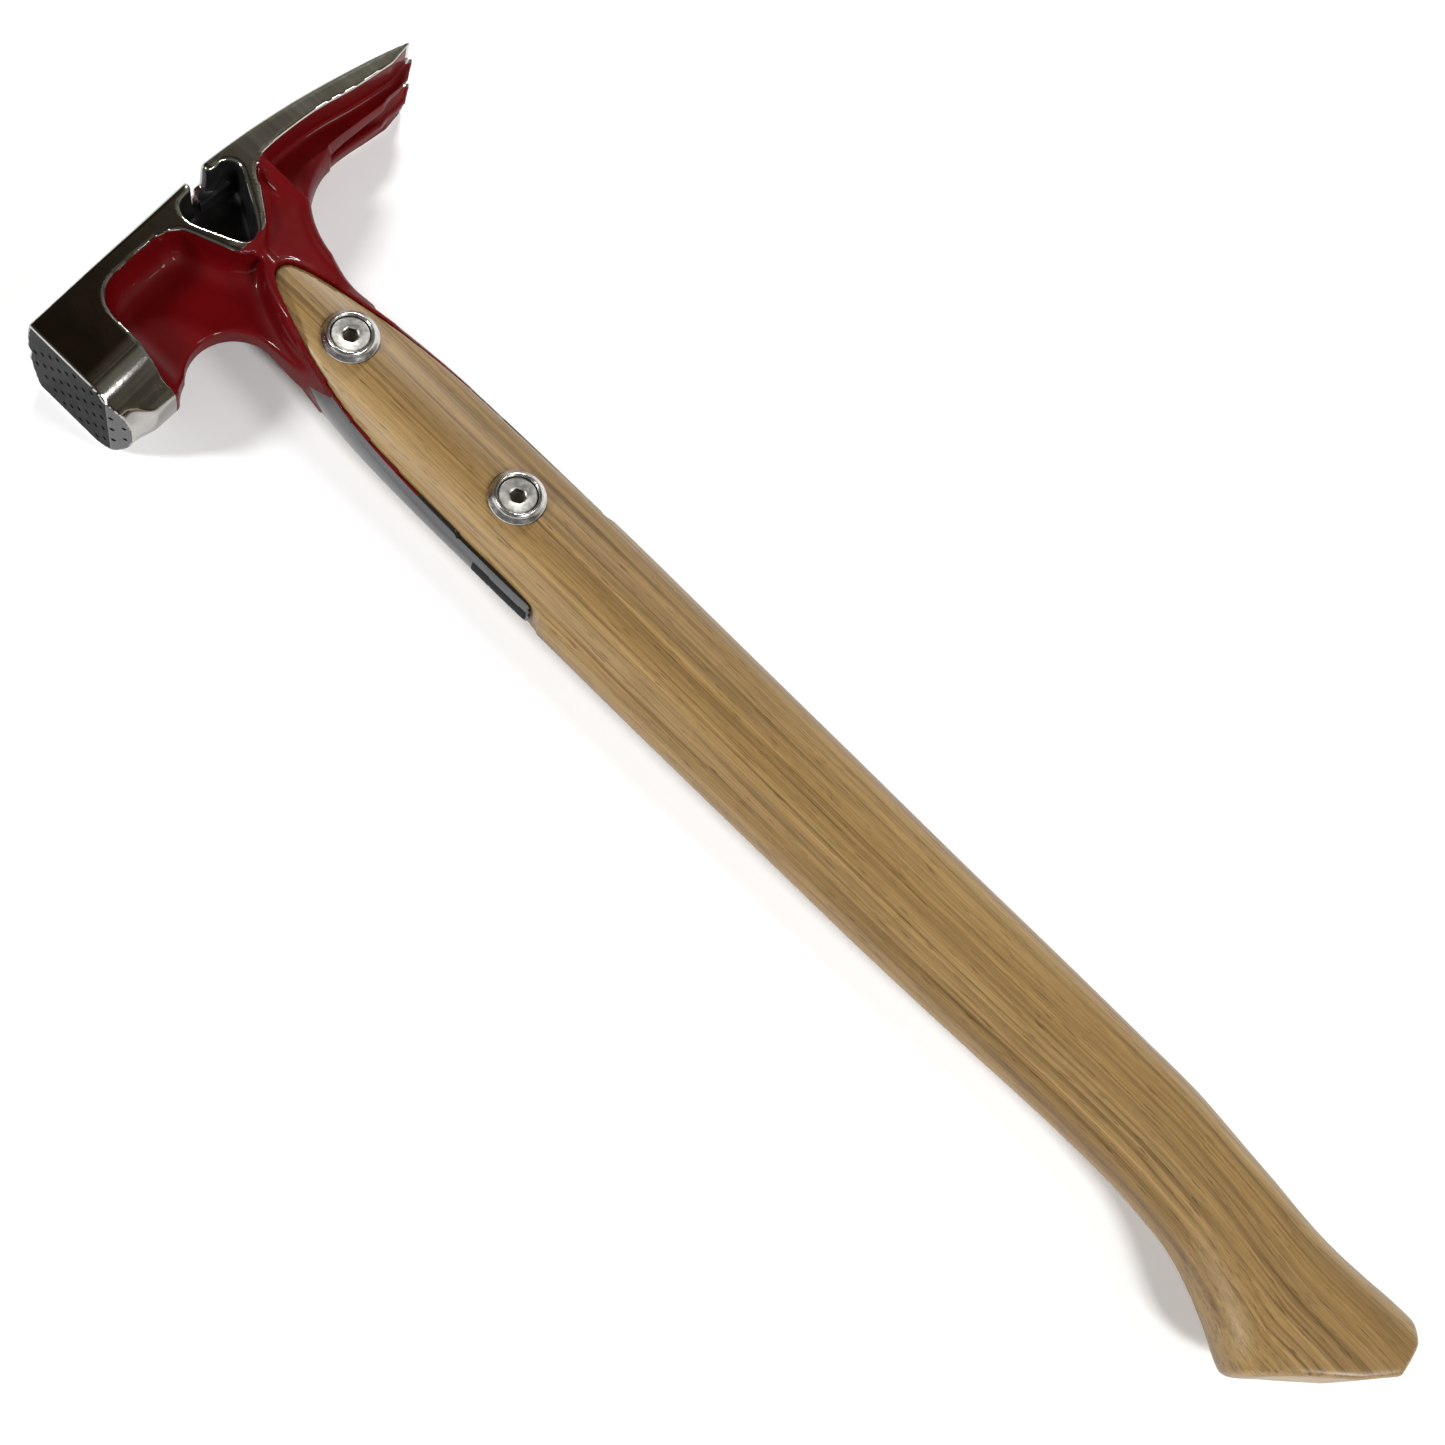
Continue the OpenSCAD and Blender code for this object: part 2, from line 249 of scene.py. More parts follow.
# Edge of the polished metal on the side of the head, from the poll round the pocket to the claws
RIM_LINE = np.concatenate([
    [(8.0, 80.0), (8.0, 43.8)],
    curve([(18.0, 43.8), (29.7, 43.4), (43.0, 43.3), (48.3, 41.3), (51.3, 37.0), (52.4, 29.0),
           (53.0, 19.5)], 5),
    curve([(52.2, 15.6), (50.0, 12.9), (44.3, 10.3), (38.0, 7.4), (34.6, 4.6), (33.6, 1.4), (34.5, -1.9),
           (37.6, -5.3), (43.8, -9.9), (50.2, -13.7), (53.6, -18.0), (54.8, -25.0), (54.8, -39.6),
           (53.2, -53.0), (52.3, -66.6)], 5)])
RIM = np.concatenate([RIM_LINE, [(54.4, -CLAW_REACH), (60.0, -90.0), (90.0, -90.0), (90.0, 80.0)]])
FLANGE = np.concatenate([RIM_LINE, [(54.4, -CLAW_REACH), (90.0, -CLAW_REACH), (90.0, 80.0)]])
POCKET = np.concatenate([
    curve([(57.6, 3.4), (56.9, 7.2), (54.8, 9.1), (50.9, 9.5), (45.0, 6.9), (38.6, 3.6), (36.9, 1.0),
           (37.8, -2.0), (41.7, -4.8), (48.5, -8.7), (54.2, -11.6), (57.2, -11.5), (58.9, -9.4),
           (58.6, -6.0), (59.6, -3.9)], 5),
    [(66.0, -4.6), (66.0, 0.4), (61.2, 1.7), (59.0, 2.3)]])
NOTCH_GAP = [(75.0, 1.7), (61.6, 1.6), (60.7, 1.2), (60.5, 0.5), (61.2, -0.3), (62.4, -1.0), (75.0, -5.0)]
CHEEK = np.concatenate([
    [(56.0, 50.0), (22.0, 50.0), (22.0, 42.6)],
    arc(14.6, 27.5, 13.4, 48, -88, 24),
    [(4.0, 13.0), (4.0, -4.0), (56.0, -4.0)]])
THROAT = arc(THROAT_X, THROAT_Y, THROAT_RADIUS, 0, 84, 24)
NECK = np.concatenate([
    [(58.0, -2.0), (58.0, -60.0), (49.8, -60.0), (49.8, -45.0), (48.8, -39.6)],
    THROAT[3:19],
    curve([(19.0, -13.1), (14.0, -12.5), (7.0, -13.1), (4.0, -13.4)], 4),
    [(4.0, 0.0), (9.0, 9.0)],
    curve([(14.0, 8.6), (20.0, 6.8), (24.4, 5.2), (28.4, 3.2), (31.2, 1.4), (34.0, 1.0)], 4),
    [(44.0, 4.0)]])
CLAWS = np.concatenate([
    [(80.0, -13.0), (80.0, -CLAW_REACH), (54.3, -CLAW_REACH)],
    curve([(50.8, -72.2), (49.8, -67.0), (49.7, -58.0), (49.9, -46.0), (50.6, -38.0)], 4),
    [(52.0, -30.0), (53.0, -20.0), (53.0, -13.0)]])
# Edge of the wood on the head's side: up the front, round its tip and down the back
ARCH = np.concatenate([
    [(-440.0, -80.0), (-440.0, 80.0), (-94.0, 80.0)],
    curve([(-92.5, 22.5), (-90.5, 19.3), (-88.5, 17.4), (-80.0, 16.4), (-62.0, 16.3), (-45.0, 16.0),
           (-26.0, 15.2), (-12.0, 13.9), (-3.0, 12.3), (5.0, 10.6), (12.3, 8.7), (20.0, 6.1),
           (23.7, 4.4), (26.3, 2.6), (27.5, 0.2), (27.2, -2.0), (24.9, -4.2), (17.8, -6.9),
           (8.2, -9.3), (-7.0, -12.8), (-26.0, -15.6), (-45.0, -16.7), (-62.0, -17.0),
           (-79.0, -17.2), (-82.0, -17.9), (-84.5, -20.5)], 4),
    [(-86.0, -80.0)]])
STRAP = np.concatenate([
    curve([(30.4, 1.0), (27.8, 3.5), (24.2, 6.0), (19.8, 8.1), (14.5, 10.1), (8.0, 12.1), (-3.0, 14.3),
           (-14.0, 15.9), (-26.0, 17.1), (-45.0, 18.0), (-62.0, 18.3), (-84.0, 18.4), (-86.6, 17.4)], 4),
    [(-87.0, 10.0), (-80.0, -10.0)],
    curve([(-80.0, -17.6), (-78.5, -18.7), (-60.0, -18.8), (-45.0, -18.5), (-26.0, -17.8),
           (-12.0, -16.1), (0.0, -14.3), (9.0, -12.8), (16.0, -11.4)], 4),
    [(26.0, -7.0)]])
WEB = [(30, 6), (10, 11), (-26, 16.6), (-76, 16.6), (-76, -17.2), (-26, -17.2), (10, -12), (30, -8)]


def poll_line(x, y):
    """Height above the poll's sloping top line."""
    return (x - FACE_TOP) * math.cos(SLOPE) + (y - FACE_REACH) * math.sin(SLOPE)


def poll_top(x, y, z):
    return np.sqrt(np.maximum(poll_line(x, y) + POLL_CROWN, 0) ** 2 + z * z) - POLL_CROWN


def claw_top(x, y, z):
    rho = np.sqrt((x - CLAW_X) ** 2 + (y - CLAW_Y) ** 2)
    return np.sqrt((rho - (HEAD_RISE - CLAW_X - CLAW_CROWN)) ** 2 + z * z) - CLAW_CROWN


def head_top(x, y, z):
    return np.where(y > -1.5, poll_top(x, y, z), claw_top(x, y, z))


def poll_under(x, y, z):
    """Two crowned facets on each side that turn the poll's side flats under."""
    u = poll_line(x, y) + FACE_TOP
    side = np.abs(z)
    corner = np.sqrt(np.maximum(38.9 - u, 0) ** 2 + (side + 1.86) ** 2) - FACET_RADIUS
    facet = np.sqrt(np.maximum(40.0 - u, 0) ** 2 + z * z) - FACET_RADIUS
    return meet(corner, facet, 0.5)


def poll_field(x, y, z):
    """Poll and top bar with the thin cheek below them."""
    side = np.abs(z)
    flange = meet(outline(x, y, FLANGE) + 0.05 * (HALF_WIDTH - side), side - HALF_WIDTH, 1.1)
    flange = meet(flange, poll_under(x, y, z), 0.8)
    cheek = meet(outline(x, y, CHEEK), side - CHEEK_HALF, 1.5)
    return join(flange, cheek, 8.0)


def near_tip(y):
    """Grows from 0 to 1 along the claws."""
    return smooth((-46.0 - y) / 30.0)


def rear_field(x, y, side, grip):
    """Claws, and the neck wall behind the pocket, dished up to a raised rear edge."""
    throat = THROAT_RADIUS - np.sqrt((x - THROAT_X) ** 2 + (y - THROAT_Y) ** 2)
    crest = np.exp(-((throat + 1.3) / 1.3) ** 2) * smooth((46.0 - x) / 8.0)
    depth = 3.4 * smooth((53.0 - x) / 16.0) * (1.0 - 0.7 * smooth((-y - 26.0) / 16.0))
    dish = HALF_WIDTH - 0.35 - depth + 0.9 * crest
    clearance = 0.2 + 6.0 * smooth((x - 9.0) / 16.0) + 8.0 * smooth((-y - 14.0) / 5.0)
    dish = np.minimum(dish, grip + clearance)
    neck = meet(outline(x, y, NECK), side - dish, 1.6 + 4.0 * smooth((-y - 32.0) / 12.0))
    rear_edge = meet(throat, side - dish, 1.5 + 4.0 * smooth((x - 36.0) / 10.0))
    neck = np.where(y < -2.0, meet(neck, rear_edge, 0.01), neck)
    claws = meet(outline(x, y, CLAWS), side - HALF_WIDTH + 0.05, 5.6 - 4.6 * near_tip(y))
    sunk = 0.35 * smooth((outline(x, y, RIM) - 0.1) / 1.2)
    claws = np.maximum(claws, side - HALF_WIDTH + sunk)
    return np.maximum(join(neck, claws, 5.0), side - dish)


def strap_field(x, y, side, grip, wood):
    """Straps that finish the handle's oval section, with a thin lip round the wood."""
    oval = np.sqrt(np.maximum(y * y + (side + GRIP_OFFSET) ** 2, 1e-9)) - GRIP_RADIUS
    strap = meet(outline(x, y, STRAP) + 0.012 * side * side, oval, 1.3)
    lip = np.sqrt((wood - 0.65) ** 2 + (side - grip + 0.25) ** 2) - 0.8
    lip = np.maximum(lip, -4.0 - x)
    return join(strap, lip, 0.8)


def ridge_field(x, y, side):
    """Short ridge from the foot of the pocket's rim to the tip of the wood."""
    along = np.clip((x - 28.5) / 6.0, 0, 1)
    return np.sqrt((x - 28.5 - 6.0 * along) ** 2 + (y - 0.8 + 0.5 * along) ** 2 + (side - 13.4) ** 2) - 1.3


def pocket_field(x, y, side):
    """Pocket in each side, round the block that stands in the notch."""
    block = np.maximum(np.maximum(side - 6.8, 57.2 - x), y + 0.7 + 0.35 * (x - 60.0))
    hollow = meet(outline(x, y, POCKET) - 0.04 * (side - HALF_WIDTH), POCKET_HALF - side, 2.0)
    return meet(hollow, -block, 0.8)


def slot_field(y, z):
    """Slot between the claws, round at its root and wider towards the tips."""
    root = SLOT_LENGTH - CLAW_REACH - SLOT_HALF
    half = SLOT_HALF + SLOT_GROWTH * np.clip((root - y) / (SLOT_LENGTH - SLOT_HALF), 0, 1.2)
    return np.where(y < root, (np.abs(z) - half) * 0.99, np.sqrt((y - root) ** 2 + z * z) - SLOT_HALF)


def head_field(x, y, z):
    side = np.abs(z)
    wood = outline(x, y, ARCH)
    grip = np.sqrt(np.maximum(GRIP_RADIUS ** 2 - y * y, 1.0)) - GRIP_OFFSET
    body = join(poll_field(x, y, z), rear_field(x, y, side, grip), 2.2)
    body = np.maximum(body, side - HALF_WIDTH)
    fillet = 1.0 + 5.5 * smooth((x + 6.0) / 14.0) * smooth((y + 2.0) / 4.0)
    body = join(body, strap_field(x, y, side, grip, wood), fillet)
    body = join(body, ridge_field(x, y, side), 1.6)
    rounding = 1.2 + 0.9 * smooth((43.0 - y) / 30.0) - 0.9 * near_tip(y)
    body = meet(body, head_top(x, y, z), rounding)
    body = meet(body, -pocket_field(x, y, side), 1.3)
    body = meet(body, -outline(x, y, NOTCH_GAP), 0.7)
    body = meet(body, -slot_field(y, z), 1.2)
    groove = np.sqrt((poll_line(x, y) - GROOVE_RISE) ** 2 + z * z) - GROOVE_RADIUS
    body = meet(body, -np.maximum(groove, -1.0 - y), 0.5)
    # the wood's seat, with the web that goes into the handle's fork
    plate = np.maximum(outline(x, y, WEB), side - PLATE_HALF)
    body = np.minimum(np.maximum(body, -wood), plate)
    # striking face and its heel
    heel = -(x - HEEL_X) * math.sin(HEEL_TILT) + (y - FACE_REACH) * math.cos(HEEL_TILT)
    body = meet(body, y - FACE_REACH, 0.9)
    return np.where(y > 40.0, meet(body, heel, 0.4), body)


def head_points():
    step = 0.62
    half = np.arange(step / 2, 18.5, step)
    return surface(head_field,
                   np.arange(-89.0, 65.0, step),
                   np.arange(-78.6, 63.2, step),
                   np.concatenate([-half[::-1], half]))


# ---------------------------------------------------------------- handle, as a field

# Front and back edge of the handle, from past the butt to inside the head: (x, front y, back y)
EDGES = [(-420, 60, -11.6), (-400, 50, -11.8), (-384, 43, -12.2), (-374, 39.3, -12.2),
         (-364, 36.5, -11.6), (-351, 33.3, -11.4), (-342, 28.0, -12.1), (-332, 23.2, -13.5),
         (-322, 19.9, -14.7), (-312, 18.5, -15.9), (-302, 17.6, -16.9), (-281, 17.3, -17.3),
         (-250, 18.2, -17.6), (-218, 19.0, -17.7), (-176, 19.2, -18.2), (-133, 19.2, -18.6),
         (-90, 18.9, -19.1), (-45, 18.6, -18.9), (0, 18.4, -18.6), (40, 18.4, -18.5)]
BUTT = [(60, 70), (-322, 70), (-351.5, 35.5), (-363.0, 24.9), (-376.8, 13.2), (-384.3, 4.9),
        (-384.6, -6.0), (-381.5, -13.5), (-372, -30), (60, -30)]
HANDLE_HALF = 12.7
FORK_HALF = 2.65
FORK_END = -77.0
SEAT = 12.2           # height of the washers' flat seats above the middle plane
SEAT_RADIUS = 8.15
HOLE_RADIUS = 4.05


def spline(x, at, values):
    """Smooth curve through values given at rising places."""
    slope = np.gradient(values, at)
    i = np.clip(np.searchsorted(at, x) - 1, 0, len(at) - 2)
    h = at[i + 1] - at[i]
    t = np.clip((x - at[i]) / h, 0, 1)
    return ((2 * t ** 3 - 3 * t ** 2 + 1) * values[i] + (t ** 3 - 2 * t ** 2 + t) * h * slope[i]
            + (-2 * t ** 3 + 3 * t ** 2) * values[i + 1] + (t ** 3 - t ** 2) * h * slope[i + 1])


def edges(x):
    """The handle's front and back edge at each x."""
    at, front, back = np.array(EDGES, dtype=float).T
    return spline(x, at, front), spline(x, at, back)


def handle_field(x, y, z):
    side = np.abs(z)
    front, back = edges(x)
    half = (front - back) / 2
    thick = HANDLE_HALF + 0.9 * smooth((-320.0 - x) / 50.0)
    # the flared butt's section is a little squarer than the grip's oval
    power = 2.0 + 0.25 * smooth((-315.0 - x) / 30.0)
    u = np.abs(y - (front + back) / 2) / half
    r = (u ** power + (side / thick) ** power) ** (1 / power)
    oval = (r - 1) * np.minimum(thick, half) * 0.9
    body = meet(oval, outline(x, y, BUTT), 2.2)
    body = meet(body, outline(x, y, ARCH) + 0.12 + 0.25 * smooth((-25.0 - x) / 20.0), 0.6)
    fork = np.maximum(side - FORK_HALF, FORK_END - x)
    return np.maximum(body, -fork)


def handle_points():
    coarse = 1.0
    fine = 0.7
    xs = np.concatenate([np.arange(-388.0, -345.0, coarse * 0.9),
                         np.arange(-345.0, -95.0, 1.8 * coarse),
                         np.arange(-95.0, 30.0, fine)])
    half = np.arange(coarse * 0.35, 16.0, coarse * 0.7)
    ys = np.arange(-21.5, 46.0, coarse * 0.8)
    return surface(handle_field, xs, ys, np.concatenate([-half[::-1], half]))


# ---------------------------------------------------------------- materials

def new_material(name):
    material = bpy.data.materials.new(name)
    material.use_nodes = True
    nodes = material.node_tree.nodes
    shader = nodes["Principled BSDF"]
    return material, nodes, material.node_tree.links, shader


def coords(nodes, links, scale=(1.0, 1.0, 1.0)):
    """Place in the object, stretched by scale."""
    place = nodes.new("ShaderNodeTexCoord")
    return stretched(nodes, links, place.outputs["Object"], scale)


def grain_place(nodes):
    """What store_grain() kept."""
    place = nodes.new("ShaderNodeAttribute")
    place.attribute_name = "grain"
    return place.outputs["Vector"]


def stretched(nodes, links, vector, scale):
    mapping = nodes.new("ShaderNodeMapping")
    mapping.inputs["Scale"].default_value = scale
    links.new(vector, mapping.inputs["Vector"])
    return mapping.outputs["Vector"]


def ramp(nodes, links, source, stops):
    node = nodes.new("ShaderNodeValToRGB")
    band = node.color_ramp
    while len(band.elements) < len(stops):
        band.elements.new(0.5)
    for element, (position, colour) in zip(band.elements, stops):
        element.position = position
        element.color = tuple(colour) + (1.0,) if len(colour) == 3 else colour
    links.new(source, node.inputs["Fac"])
    return node.outputs["Color"]


def noise(nodes, links, vector, scale, detail=4.0, rough=0.55, distortion=0.0):
    node = nodes.new("ShaderNodeTexNoise")
    node.inputs["Scale"].default_value = scale
    node.inputs["Detail"].default_value = detail
    node.inputs["Roughness"].default_value = rough
    node.inputs["Distortion"].default_value = distortion
    links.new(vector, node.inputs["Vector"])
    return node.outputs["Fac"]


def spread(nodes, links, source, low, high, start=0.0, stop=1.0):
    node = nodes.new("ShaderNodeMapRange")
    node.inputs["From Min"].default_value = start
    node.inputs["From Max"].default_value = stop
    node.inputs["To Min"].default_value = low
    node.inputs["To Max"].default_value = high
    links.new(source, node.inputs["Value"])
    return node.outputs["Result"]


def bump(nodes, links, shader, height, distance, strength, after=None):
    node = nodes.new("ShaderNodeBump")
    node.inputs["Strength"].default_value = strength
    node.inputs["Distance"].default_value = distance
    links.new(height, node.inputs["Height"])
    if after is not None:
        links.new(after, node.inputs["Normal"])
    links.new(node.outputs["Normal"], shader.inputs["Normal"])
    return node.outputs["Normal"]


def mix(nodes, links, factor, a, b, mode="MIX"):
    node = nodes.new("ShaderNodeMix")
    node.data_type = "RGBA"
    node.blend_type = mode
    if isinstance(factor, float):
        node.inputs[0].default_value = factor
    else:
        links.new(factor, node.inputs[0])
    for socket, value in ((node.inputs[6], a), (node.inputs[7], b)):
        if isinstance(value, tuple):
            socket.default_value = value + (1.0,)
        else:
            links.new(value, socket)
    return node.outputs[2]


def times(value, colour):
    return tuple(c * value for c in colour)


def steel_material(name, colour, rough_low, rough_high, haze, brush=(1.0, 1.0, 1.0), metallic=1.0):
    """Steel with a faint haze, stretched by brush. A dark dull finish has metallic 0."""
    material, nodes, links, shader = new_material(name)
    shader.inputs["Metallic"].default_value = metallic
    shader.inputs["Specular IOR Level"].default_value = 0.5 if metallic else 0.02
    vector = coords(nodes, links, brush)
    cloud = noise(nodes, links, vector, haze, 5.0)
    tone = ramp(nodes, links, cloud, [(0.35, times(0.82, colour)), (0.65, colour)])
    links.new(tone, shader.inputs["Base Color"])
    wear = noise(nodes, links, vector, haze * 0.25, 3.0)
    links.new(spread(nodes, links, wear, rough_low, rough_high, 0.3, 0.7), shader.inputs["Roughness"])
    fine = noise(nodes, links, vector, haze * 6.0, 2.0)
    bump(nodes, links, shader, fine, 0.00002, 0.35)
    return material


BRUSHED = (0.12, 1.0, 1.0)
PLAIN = (1.0, 1.0, 1.0)
POLISHED = steel_material("polished_steel", (0.4, 0.388, 0.365), 0.04, 0.09, 120.0)
BAND = steel_material("ground_steel", (0.44, 0.425, 0.38), 0.1, 0.17, 500.0, BRUSHED)
STRAP_STEEL = steel_material("strap_steel", (0.12, 0.12, 0.125), 0.1, 0.18, 400.0, BRUSHED)
FACE = steel_material("milled_steel", (0.017, 0.0172, 0.018), 0.4, 0.5, 700.0, PLAIN, 0.0)
PIT = steel_material("pit_shadow", (0.006, 0.006, 0.006), 0.5, 0.6, 900.0, PLAIN, 0.0)
BEVEL = steel_material("heel_steel", (0.1, 0.1, 0.1), 0.28, 0.36, 900.0)


def enamel_material():
    material, nodes, links, shader = new_material("red_enamel")
    vector = coords(nodes, links)
    cloud = noise(nodes, links, vector, 60.0, 3.0)
    red = ramp(nodes, links, cloud, [(0.3, (0.07, 0.0006, 0.0012)), (0.7, (0.096, 0.001, 0.0018))])
    links.new(red, shader.inputs["Base Color"])
    shader.inputs["Roughness"].default_value = 0.5
    shader.inputs["Specular IOR Level"].default_value = 0.06
    shader.inputs["Coat Weight"].default_value = 0.24
    shader.inputs["Coat IOR"].default_value = 1.42
    shader.inputs["Coat Roughness"].default_value = 0.04
    peel = noise(nodes, links, vector, 210.0, 3.0)
    lumps = noise(nodes, links, vector, 900.0, 2.0)
    first = bump(nodes, links, shader, peel, 0.00025, 0.35)
    bump(nodes, links, shader, lumps, 0.00004, 0.35, after=first)
    return material


ENAMEL = enamel_material()


# Near-black colour for the faces inside the pockets and the notch, with a faint random tone and bump
def pocket_material():
    material, nodes, links, shader = new_material("pocket_near_black")
    vector = coords(nodes, links)
    cloud = noise(nodes, links, vector, 300.0, 4.0)
    black = ramp(nodes, links, cloud, [(0.3, (0.004, 0.004, 0.004)), (0.7, (0.011, 0.0105, 0.01))])
    links.new(black, shader.inputs["Base Color"])
    links.new(spread(nodes, links, cloud, 0.35, 0.5), shader.inputs["Roughness"])
    shader.inputs["Specular IOR Level"].default_value = 0.25
    bump(nodes, links, shader, noise(nodes, links, vector, 700.0, 3.0), 0.0001, 0.5)
    return material


POCKET_BLACK = pocket_material()


def wood_material(name, tint, end):
    """Hickory: 'grain' holds place along, across and through the wood; end is the look of its cut end."""
    material, nodes, links, shader = new_material(name)
    place = grain_place(nodes)
    long = 30.0 if end else 1.0
    contrast = 0.45 if end else 1.0

    def layer(along, across, through, detail, rough, distortion=0.0):
        vector = stretched(nodes, links, place, (along * long, across, through))
        return noise(nodes, links, vector, 1.0, detail, rough, distortion)

    broad = layer(2.2, 75.0, 40.0, 2.0, 0.5, 0.5)
    bands = layer(4.0, 300.0, 120.0, 3.0, 0.6, 0.35)
    lines = layer(9.0, 1100.0, 600.0, 4.0, 0.65, 0.2)
    fibre = layer(60.0, 3400.0, 2600.0, 3.0, 0.6)
    pores = layer(150.0, 2800.0, 2000.0, 1.0, 0.5)
    shade = ramp(nodes, links, broad, [(0.32, times(tint, (0.225, 0.137, 0.046))),
                                       (0.5, times(tint, (0.29, 0.183, 0.065))),
                                       (0.68, times(tint, (0.36, 0.238, 0.092)))])
    darker = (
        (0.58, bands, [(0.34, (0.34, 0.28, 0.22)), (0.43, (0.72, 0.68, 0.62)), (0.52, (0.97, 0.96, 0.95)),
                       (0.66, (1.08, 1.08, 1.06))]),
        (0.7, lines, [(0.36, (0.42, 0.36, 0.3)), (0.46, (0.9, 0.88, 0.86)), (0.6, (1.04, 1.03, 1.02)),
                      (0.7, (1.2, 1.2, 1.18))]),
        (0.6, fibre, [(0.35, (0.62, 0.57, 0.5)), (0.5, (1.0, 1.0, 1.0)), (0.65, (1.14, 1.13, 1.12))]),
        (0.75, pores, [(0.27, (0.3, 0.24, 0.18)), (0.36, (1.0, 1.0, 1.0))]),
    )
    for amount, source, stops in darker:
        shade = mix(nodes, links, amount * contrast, shade, ramp(nodes, links, source, stops), "MULTIPLY")
    links.new(shade, shader.inputs["Base Color"])
    links.new(spread(nodes, links, lines, 0.36, 0.52, 0.3, 0.7), shader.inputs["Roughness"])
    shader.inputs["Specular IOR Level"].default_value = 0.4
    shader.inputs["Coat Weight"].default_value = 0.12
    shader.inputs["Coat Roughness"].default_value = 0.3
    first = bump(nodes, links, shader, lines, 0.00008, 0.5)
    bump(nodes, links, shader, fibre, 0.00005, 0.5, after=first)
    return material


WOOD = wood_material("hickory", 0.85, False)
END_WOOD = wood_material("hickory_end", 0.85, True)


def turned_material(name, colour, rough):
    """Lathe-turned metal: fine rings round the piece's own axis, whose radius is in 'grain'."""
    material, nodes, links, shader = new_material(name)
    shader.inputs["Metallic"].default_value = 1.0
    rings = noise(nodes, links, stretched(nodes, links, grain_place(nodes), (3800.0, 1.0, 1.0)), 1.0, 2.0)
    cloud = noise(nodes, links, coords(nodes, links), 700.0, 4.0)
    tone = ramp(nodes, links, cloud, [(0.35, times(0.7, colour)), (0.62, colour)])
    links.new(tone, shader.inputs["Base Color"])
    links.new(spread(nodes, links, cloud, rough * 0.8, rough * 1.4), shader.inputs["Roughness"])
    bump(nodes, links, shader, rings, 0.00003, 0.6)
    return material


BOLT = turned_material("turned_steel", (0.62, 0.605, 0.57), 0.36)
WASHER = turned_material("plated_steel", (0.56, 0.55, 0.53), 0.2)
SOCKET = turned_material("socket_shadow", (0.16, 0.14, 0.11), 0.4)
MAGNET = steel_material("magnet_nickel", (0.32, 0.32, 0.33), 0.3, 0.4, 500.0)


# ---------------------------------------------------------------- head

def split_along(piece, level):
    """Cuts the faces where level(points) changes sign, so that materials meet in a smooth line."""
    bm = bmesh.new()
    bm.from_mesh(piece.data)
    bm.verts.ensure_lookup_table()
    values = level(np.array([v.co for v in bm.verts]))
    cuts = []
    snapped = values.copy()
    for edge in bm.edges:
        a, b = edge.verts[0].index, edge.verts[1].index
        if values[a] * values[b] < 0:
            t = values[a] / (values[a] - values[b])
            if t < 0.12:
                snapped[a] = 0.0
            elif t > 0.88:
                snapped[b] = 0.0
    for edge in bm.edges:
        a, b = edge.verts[0].index, edge.verts[1].index
        if snapped[a] * snapped[b] < 0:
            cuts.append((edge, edge.verts[0], snapped[a] / (snapped[a] - snapped[b])))
    touched = [v for v in bm.verts if snapped[v.index] == 0.0]
    for edge, vert, t in cuts:
        _, fresh = bmesh.utils.edge_split(edge, vert, float(t))
        touched.append(fresh)
    bmesh.ops.connect_verts(bm, verts=touched)
    bm.to_mesh(piece.data)
    bm.free()


def design(points):
    """Turns the part's frame back into the drawing's millimetres."""
    return np.asarray(points, dtype=float) / MM + CENTRE


def vertex_places(mesh):
    return design(np.array([v.co for v in mesh.vertices])).T


def enamel_level(points):
    """Positive where the casting is enamelled."""
    x, y, z = design(points).T
    side = np.abs(z)
    level = np.maximum(outline(x, y, RIM) - 0.1, HALF_WIDTH - 0.75 - side)
    level = np.minimum(level, -head_top(x, y, z) - 1.5)
    level = np.minimum(level, 43.6 - y)
    front = np.minimum(0.9 - 1.2 * side - x, outline(x, y, ARCH) - 0.8)
    bare = np.where(y > 0, np.maximum(front, -43.0 - x), -30.0 - x)
    return np.minimum(level, -bare)


def pocket_level(points):
    """Positive inside the pockets and the notch."""
    x, y, z = design(points).T
    side = np.abs(z)
    level = np.minimum(0.3 - outline(x, y, POCKET), HALF_WIDTH - 0.5 - side)
    return np.minimum(level, 61.0 - x)


def cut(piece, points, faces):
    """Takes a closed cutter's volume away from the piece."""
    cutter = add_mesh("cutter", placed(points), faces, [])
    fix = bmesh.new()
    fix.from_mesh(cutter.data)
    bmesh.ops.recalc_face_normals(fix, faces=fix.faces)
    fix.to_mesh(cutter.data)
    fix.free()
    boolean = piece.modifiers.new("cut", "BOOLEAN")
    boolean.operation = "DIFFERENCE"
    boolean.object = cutter
    boolean.solver = "MANIFOLD"
    bpy.context.view_layer.update()
    graph = bpy.context.evaluated_depsgraph_get()
    fresh = bpy.data.meshes.new_from_object(piece.evaluated_get(graph))
    piece.modifiers.clear()
    piece.data = fresh
    bpy.data.objects.remove(cutter)


def pits():
    """One mesh of small square cutters for the milled face."""
    points = []
    faces = []
    for i in range(-6, 7):
        for j in range(-5, 6):
            x, z = PIT_CENTRE + i * PIT_STEP, j * PIT_STEP
            if (i + j) % 2 or math.hypot(x - PIT_CENTRE, z * 1.15) > 16.6:
                continue
            depth = 0.9 + max(HEEL_X - x, 0) * math.tan(HEEL_TILT)
            base = len(points)
            for size, y in ((PIT_SIZE * 0.6, FACE_REACH - depth), (PIT_SIZE, FACE_REACH + 0.5)):
                points += [(x + size, y, z), (x, y, z + size), (x - size, y, z), (x, y, z - size)]
            faces.append([base + k for k in (0, 1, 2, 3)])
            faces.append([base + k for k in (7, 6, 5, 4)])
            for k in range(4):
                n = (k + 1) % 4
                faces.append([base + k, base + 4 + k, base + 4 + n, base + n])
    return points, faces


